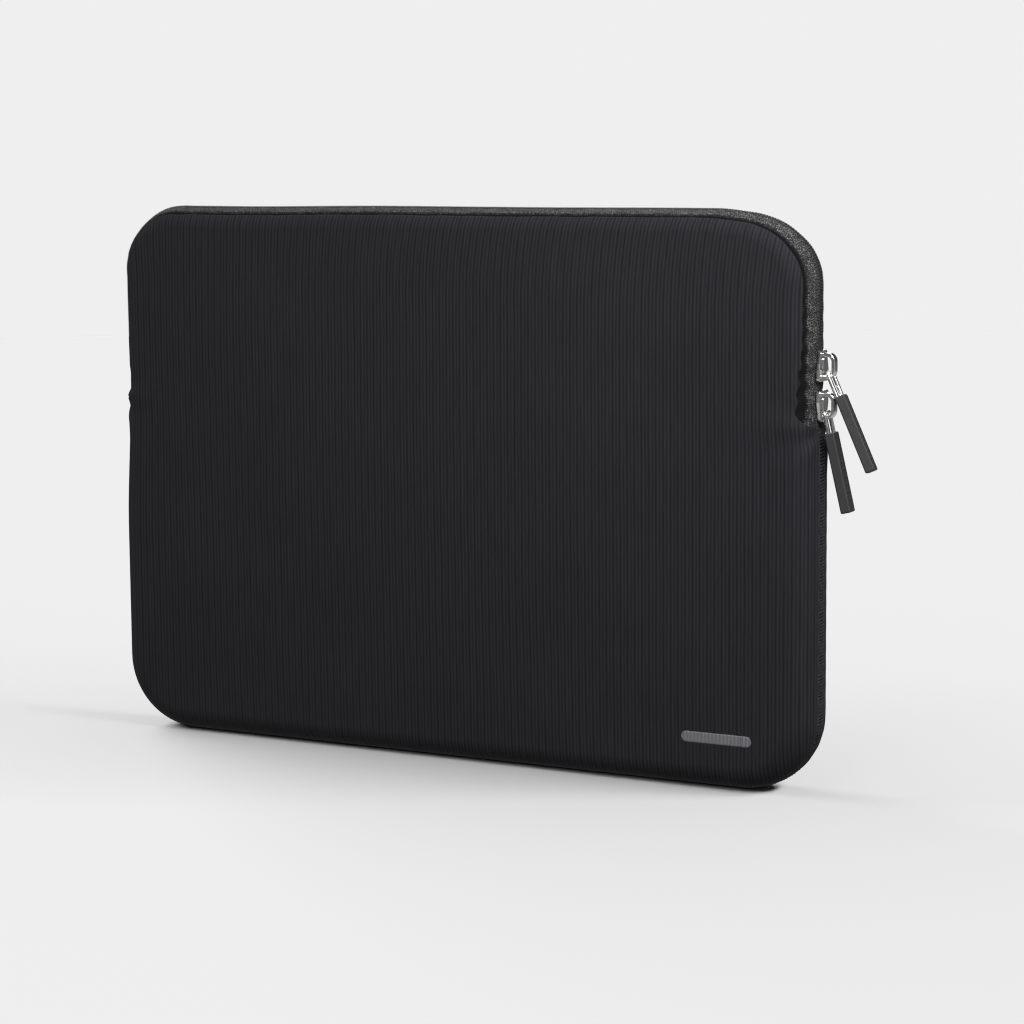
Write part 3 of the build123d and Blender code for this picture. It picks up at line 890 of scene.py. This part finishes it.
def coil_and_sewing(side, tag):
    """One coil bar per turn, and a rung of thread over every bar."""
    route = zipper_route(RUNG, FOLD_Z + 1.0)
    x, z = route.point.T
    # the heads stand back on the right-hand run, clear of the sliders' necks
    head = np.where((x > 0) & (z < HIGH_Z + 2), 0.62, 0.16)[:, None]
    stagger = 0.5 * RUNG if side > 0 else 0.0

    def clear_y(y, innermost):
        return y + (head - innermost) * np.clip((COIL_MID_Y - y) / COIL_REACH, 0, 1)

    coil_shift = stagger + 0.22 * (COIL_Y - COIL_MID_Y) / COIL_REACH
    coil_depth = 1.72 + 0.12 * (COIL_Y > 2.5)
    bars = place(route, side * clear_y(COIL_Y, 0.30), coil_depth, coil_shift)
    coil = tubes(f"zipper_coil_{tag}", bars[1:-1], COIL_RADIUS, 7,
                 COIL)
    uneven = 0.10 * noise1(route.distance, 1.1, 51 + side)[:, None]
    thread_shift = stagger + 0.16 * (SEWING_Y - COIL_MID_Y) / COIL_REACH + uneven
    rungs = place(route, side * clear_y(SEWING_Y, 0.16), SEWING_DEPTH, thread_shift)
    sewing = tubes(f"zipper_sewing_{tag}", rungs[1:-1], SEWING_RADIUS, 6, SEWING)
    return coil, sewing


for side, tag in SIDES:
    tape = zipper_tape(side, tag)
    binding = seam_binding(side, tag)
    coil, sewing = coil_and_sewing(side, tag)
    attach(tape, side, f"{tag}_zipper_tape")
    attach(binding, side, f"{tag}_seam_binding")
    attach(coil, side, f"{tag}_zipper_coil")
    attach(sewing, side)

# ------------------------------------------------------------------ zipper end tabs
TAB_GRID = (27, 15)              # points across y and up z
TAB_HALF = 8.6                   # half width in y
TAB_LOW, TAB_HIGH = FOLD_Z - 4.2, FOLD_Z + 3.4
TAB_THICK = 0.25
TAB_Y = [0, 3, 5, 7, 8.6, 10.5]                       # |y|
TAB_DEPTH = [0.55, 0.70, 1.20, 2.10, 3.60, 5.4]       # depth inside the outline


def end_tab(side, tag):
    y, z = np.meshgrid(np.linspace(-TAB_HALF, TAB_HALF, TAB_GRID[0]),
                       np.linspace(TAB_LOW, TAB_HIGH, TAB_GRID[1]), indexing="ij")
    depth = np.interp(np.abs(y), TAB_Y, TAB_DEPTH) + 0.9 * smooth(FOLD_Z, TAB_LOW, z)
    ripple = 0.12 * np.sin(y * 1.7) * smooth(FOLD_Z - 1, FOLD_Z + 3, z)
    outer = np.stack([side * (WIDTH / 2 - depth + ripple), y, z], -1).reshape(-1, 3)
    inner = outer - np.array([side * TAB_THICK, 0, 0])
    border = grid_border(*TAB_GRID)
    edge = wall(border, border + len(outer))
    faces = [grid_faces(*TAB_GRID, flip=side < 0),
             grid_faces(*TAB_GRID, base=len(outer), flip=side > 0),
             edge if side < 0 else edge[:, ::-1]]
    uv = np.stack([z.ravel(), y.ravel()], -1)
    tab = make_mesh(f"zipper_end_{tag}", warp(np.vstack([outer, inner])), faces,
                    np.vstack([uv, uv]), TAPE_END)
    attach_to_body(tab, "shell")
    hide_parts(f"zipper_end_tab_{tag}")


for side, tag in ENDS:
    end_tab(side, tag)

# ------------------------------------------------------------------ overlocked side seams
SEAM_TOP = FOLD_Z - 2.5
# Stitch stations over the two lips: y, depth below the outline and thread radius
STITCH_Y = np.array([-2.7, -2.2, -1.3, -0.45, 0.45, 1.3, 2.2, 2.7])
STITCH_DEPTH = np.array([0.55, 0.12, -0.10, -0.02, -0.02, -0.10, 0.12, 0.55])
STITCH_RADIUS = np.array([0.16, 0.24, 0.27, 0.27, 0.27, 0.27, 0.24, 0.16])
STITCH_SLANT = 0.42              # each stitch leans this far either way along the seam
LOOPER_Y = np.array([-2.45, 2.45])


def side_seam(side, tag):
    route = seam_route(STITCH_PITCH, side, SEAM_TOP)
    depth = STITCH_DEPTH + 0.08 * noise1(route.distance, 1.3, 31)[:, None]
    slant = np.linspace(-STITCH_SLANT, STITCH_SLANT, len(STITCH_Y))
    stitches = tubes(f"overlock_{tag}", place(route, STITCH_Y, depth, slant), STITCH_RADIUS, 6,
                     OVERLOCK)
    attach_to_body(stitches, "shell")
    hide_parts(f"side_seam_stitching_{tag}")
    # looper threads along both edges of the overlock
    route = seam_route(0.45, side, SEAM_TOP)
    zigzag = 0.22 * np.sin(2 * math.pi * route.distance / STITCH_PITCH)[:, None]
    paths = place(route, LOOPER_Y + zigzag, np.full(2, 0.22)).transpose(1, 0, 2)
    loopers = tubes(f"overlock_edge_{tag}", paths, 0.20, 6, OVERLOCK)
    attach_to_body(loopers, "shell")


for side, tag in ENDS:
    side_seam(side, tag)

# ------------------------------------------------------------------ plain printed mark
MARK_GRID = (160, 9)             # points along x and up z
MARK_LIFT = 0.07                 # above the ribs
MARK_THICK = 0.10


def plain_print():
    """A bar with round ends that follows the ribs of the front skin."""
    low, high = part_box("printed_mark")
    centre_x, centre_z = (low.x + high.x) * 500, (low.z + high.z) * 500
    half_x, half_z = (high.x - low.x) * 500, (high.z - low.z) * 500
    x = np.linspace(-half_x, half_x, MARK_GRID[0])
    into_end = np.maximum(np.abs(x) - half_x + half_z, 0)
    half = np.sqrt(np.maximum(half_z ** 2 - into_end ** 2, 0))
    u = np.repeat(centre_x + x, MARK_GRID[1])
    v = (centre_z + half[:, None] * np.linspace(-1, 1, MARK_GRID[1])).ravel()
    height = bulge(-1, u, v) + rib_height(u, v)
    top = np.stack([u, -(THICK / 2 + height + MARK_LIFT), v], -1)
    under = top + np.array([0, MARK_THICK, 0])
    face = grid_faces(*MARK_GRID)
    border = grid_border(*MARK_GRID)
    faces = [face, face[:, ::-1] + len(top), wall(border, border + len(top))]
    uv = np.stack([u, v], -1)
    mark = make_mesh("plain_print", warp(np.vstack([top, under])), faces, np.vstack([uv, uv]),
                     PRINT)
    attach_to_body(mark, "shell")
    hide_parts("printed_mark")


plain_print()


# ------------------------------------------------------------------ carried-over CAD parts
def cad_material(name):
    if "lock_spring" in name:
        return STEEL
    if "grip" in name:
        return RUBBER
    if "slider" in name or "bail" in name:
        return METAL
    return BINDING


for name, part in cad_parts.items():
    if not part.hide_render:
        part.data.materials.clear()
        part.data.materials.append(cad_material(name))

# ------------------------------------------------------------------ floor, in metres
bpy.ops.mesh.primitive_circle_add(vertices=96, radius=2.5, fill_type="NGON",
                                  location=(0, 0, -0.0003))
floor = bpy.context.active_object
floor.name = "pale_floor"
floor.data.materials.append(pale_floor())
floor.is_shadow_catcher = True
floor.visible_diffuse = False
floor.visible_glossy = False

# ------------------------------------------------------------------ world
BACKDROP = 0.8632                # even pale grey that the camera sees
DOME_LOW, DOME_HIGH = 0.195, 0.44    # diffuse light from below and from overhead
GLOSS_BASE = 0.05                # dark studio that shiny parts see


def build_world(scene):
    world = bpy.data.worlds.new("studio")
    scene.world = world
    world.use_nodes = True
    graph = Graph(world.node_tree)
    ray = graph.new("ShaderNodeTexCoord").outputs["Generated"]
    rise = graph.split(ray)[2]

    def towards(x, y, z):
        """How closely a ray points towards a direction."""
        length = math.sqrt(x * x + y * y + z * z)
        node = graph.new("ShaderNodeVectorMath", operation="DOT_PRODUCT")
        graph.feed(node.inputs[0], ray)
        node.inputs[1].default_value = (x / length, y / length, z / length)
        return node.outputs["Value"]

    def ease(value, span, to):
        return graph.remap(value, span, to, kind="SMOOTHSTEP")

    def background(strength):
        node = graph.new("ShaderNodeBackground")
        graph.feed(node.inputs[0], (1, 1, 1))
        graph.feed(node.inputs[1], strength)
        return node.outputs[0]

    def switch(fac, off, on):
        node = graph.new("ShaderNodeMixShader")
        for socket, value in zip(node.inputs, (fac, off, on)):
            graph.feed(socket, value)
        return node.outputs[0]

    # soft boxes in reflections: direction measure, span over which it fades in, brightness
    boxes = (
        (towards(0.55, -0.62, 0.55), (0.88, 0.98), 1.6),
        (towards(-0.75, -0.55, 0.30), (0.92, 0.985), 1.0),
        (rise, (0.86, 0.97), 0.9),
        (towards(0.9, 0.35, 0.1), (0.93, 0.98), 0.9),
        (towards(0.0, 0.0, -1.0), (0.02, 0.30), 0.42),         # the pale floor below
    )
    glow = [ease(value, span, (0.0, bright)) for value, span, bright in boxes]
    gloss = background(graph.total(glow + [GLOSS_BASE]))
    dome = background(ease(rise, (-0.2, 1.0), (DOME_LOW, DOME_HIGH)))
    light_path = graph.new("ShaderNodeLightPath").outputs
    unseen = switch(light_path["Is Glossy Ray"], dome, gloss)
    seen = switch(light_path["Is Camera Ray"], unseen, background(BACKDROP))
    graph.feed(graph.new("ShaderNodeOutputWorld").inputs[0], seen)


scene = bpy.context.scene
build_world(scene)

# ------------------------------------------------------------------ lights, in metres
WHITE = (1, 1, 1)
# name, location, aim, size, watts, colour
SLEEVE_LIGHTS = (
    ("upper_right_soft", (0.45, -0.36, 0.56), (0.12, 0, 0.20), (0.30, 0.30), 6.9,
     (0.965, 0.940, 1.0)),
    ("top_soft", (0.08, 0.10, 0.95), (0.0, 0, 0.2), (0.7, 0.5), 2.2, WHITE),
    ("right_edge_soft", (0.85, -0.05, 0.30), (0.16, 0, 0.16), (0.3, 0.5), 0.18, WHITE),
    ("left_rim", (-0.9, -0.25, 0.30), (-0.16, 0, 0.12), (0.25, 0.6), 2.2, WHITE),
    ("back_soft", (-0.35, 0.90, 0.60), (0, 0, 0.12), (0.5, 0.5), 3.0, WHITE),
    ("rear_face_soft", (-0.42, 0.80, 0.26), (-0.05, 0, 0.12), (0.5, 0.5), 3.5, WHITE),
)
FLOOR_LIGHTS = (
    ("floor_key_left", (-0.529, 0.023, 0.35), (0, 0, 0), (0.665, 0.224), 17.9, WHITE),
    ("floor_key_right", (0.519, 0.020, 0.35), (0, 0, 0), (0.335, 0.081), 14.1, WHITE),
    ("floor_fill", (0.15, -1.10, 1.10), (0, 0, 0), (0.50, 0.50), 3.4, WHITE),
)


def floor_collection(name):
    collection = bpy.data.collections.new(name)
    collection.objects.link(floor)
    return collection


def area_light(receivers, name, location, aim, size, watts, color):
    data = bpy.data.lights.new(name, "AREA")
    data.shape = "RECTANGLE"
    data.size, data.size_y = size
    data.energy = watts
    data.color = color
    light = bpy.data.objects.new(name, data)
    scene.collection.objects.link(light)
    light.location = location
    light.rotation_mode = "QUATERNION"
    light.rotation_quaternion = (Vector(aim) - Vector(location)).to_track_quat("-Z", "Y")
    light.light_linking.receiver_collection = receivers


floor_only = floor_collection("floor_only")
floor_left_out = floor_collection("floor_left_out")
floor_left_out.collection_objects[0].light_linking.link_state = "EXCLUDE"
for receivers, lights in ((floor_left_out, SLEEVE_LIGHTS), (floor_only, FLOOR_LIGHTS)):
    for light in lights:
        area_light(receivers, *light)

# ------------------------------------------------------------------ camera
AZIMUTH, PITCH_DOWN, ROLL = (math.radians(angle) for angle in (28.954, 7.668, -0.47))
CAMERA_DISTANCE = 1255.4         # mm, level, from the point it swings round
CAMERA_AIM_X = 26.93             # mm, x of that point
CAMERA_Z = 276.15                # mm
LENS, SENSOR_WIDTH = 105.029297, 36.0     # mm


def build_camera():
    data = bpy.data.cameras.new("camera")
    camera = bpy.data.objects.new("camera", data)
    scene.collection.objects.link(camera)
    forward = Vector((-math.sin(AZIMUTH) * math.cos(PITCH_DOWN),
                      math.cos(AZIMUTH) * math.cos(PITCH_DOWN), -math.sin(PITCH_DOWN)))
    right = Vector((math.cos(AZIMUTH), math.sin(AZIMUTH), 0.0))
    up = right.cross(forward)
    rolled_right = right * math.cos(ROLL) + up * math.sin(ROLL)
    rolled_up = -right * math.sin(ROLL) + up * math.cos(ROLL)
    rotation = Matrix((rolled_right, rolled_up, -forward)).transposed().to_4x4()
    position = ((CAMERA_AIM_X + CAMERA_DISTANCE * math.sin(AZIMUTH)) / 1000,
                -CAMERA_DISTANCE * math.cos(AZIMUTH) / 1000, CAMERA_Z / 1000)
    camera.matrix_world = Matrix.Translation(position) @ rotation
    data.sensor_width = SENSOR_WIDTH
    data.lens = LENS
    data.clip_start = 0.05
    data.clip_end = 20.0
    scene.camera = camera


build_camera()
scene.view_settings.view_transform = "Standard"
scene.view_settings.look = "None"
scene.view_settings.exposure = 0.0
scene.view_settings.gamma = 1.0
